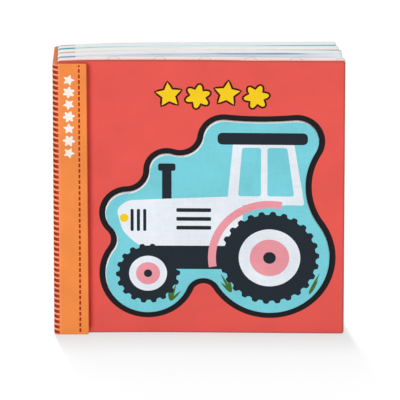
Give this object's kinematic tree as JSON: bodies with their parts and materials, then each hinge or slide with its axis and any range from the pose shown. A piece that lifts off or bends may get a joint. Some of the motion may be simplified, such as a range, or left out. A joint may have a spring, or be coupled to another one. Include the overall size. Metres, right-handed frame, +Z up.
{
  "type": "board book",
  "caption": "Square board book with thick foam leaves in an orange spine wrap, red covers that open on creases, and a pop-out tractor piece die-cut from the front cover.",
  "frame": {"origin": "middle of the foot, on the surface that the book stands on", "axes": "+Z up along the spine, +X from the spine to the fore edge, -Y out of the front cover"},
  "size_m": [0.1841, 0.0363, 0.186],
  "materials": {
    "wrap": "satin printed wrap film with a fine grain",
    "cover": "satin printed film on soft foam",
    "piece": "matt printed soft foam with a linen grain",
    "leaf_core": "matt white closed-cell foam"
  },
  "bodies": {
    "binding": {"spine_wrap": "wrap", "front_margin": "cover", "page_block": "leaf_core", "back_margin": "cover"},
    "front_cover": {"front_cover": "cover", "cover_piece": "piece"},
    "back_cover": {"back_cover": "cover"}
  },
  "joints": [
    {"name": "front_cover_hinge", "type": "hinge", "parent": "binding", "child": "front_cover", "pos_m": [-0.07, -0.0164, 0.093], "axis": [0, 0, -1], "range_deg": [-2, 170]},
    {"name": "back_cover_hinge", "type": "hinge", "parent": "binding", "child": "back_cover", "pos_m": [-0.07, 0.0164, 0.093], "axis": [0, 0, 1], "range_deg": [0, 170]}
  ]
}
